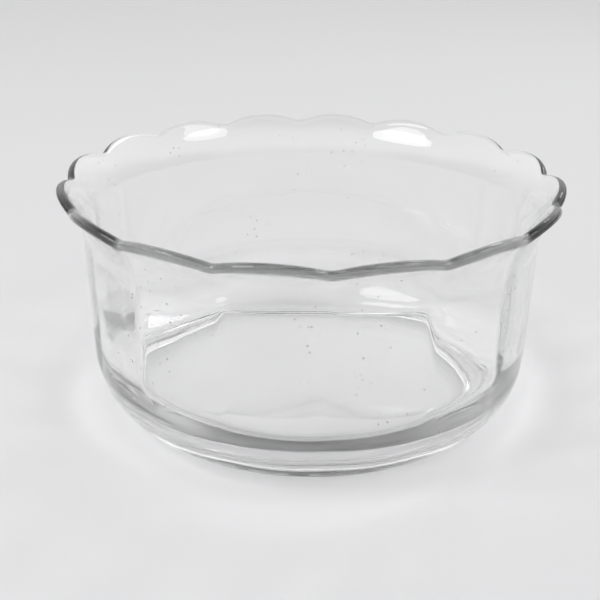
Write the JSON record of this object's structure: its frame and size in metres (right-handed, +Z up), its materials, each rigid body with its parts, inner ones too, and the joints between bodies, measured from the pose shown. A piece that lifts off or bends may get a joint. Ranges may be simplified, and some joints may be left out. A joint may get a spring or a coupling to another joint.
{
  "type": "scalloped glass bowl",
  "caption": "Clear pressed-glass serving bowl with a flared scalloped rim, an upright shallow-fluted wall, a rounded lower corner and a raised foot ring.",
  "frame": {"origin": "centre of the foot ring's resting face", "axes": "+Z up along the bowl's axis; one notch of the rim lies on each of +X, -X, +Y and -Y"},
  "size_m": [0.2288, 0.2288, 0.1093],
  "materials": {
    "clear_glass": "clear pressed soda-lime glass, fire-polished, with a faint grey cast in the thick edges"
  },
  "bodies": {
    "root": {"bowl": "clear_glass"}
  },
  "joints": []
}
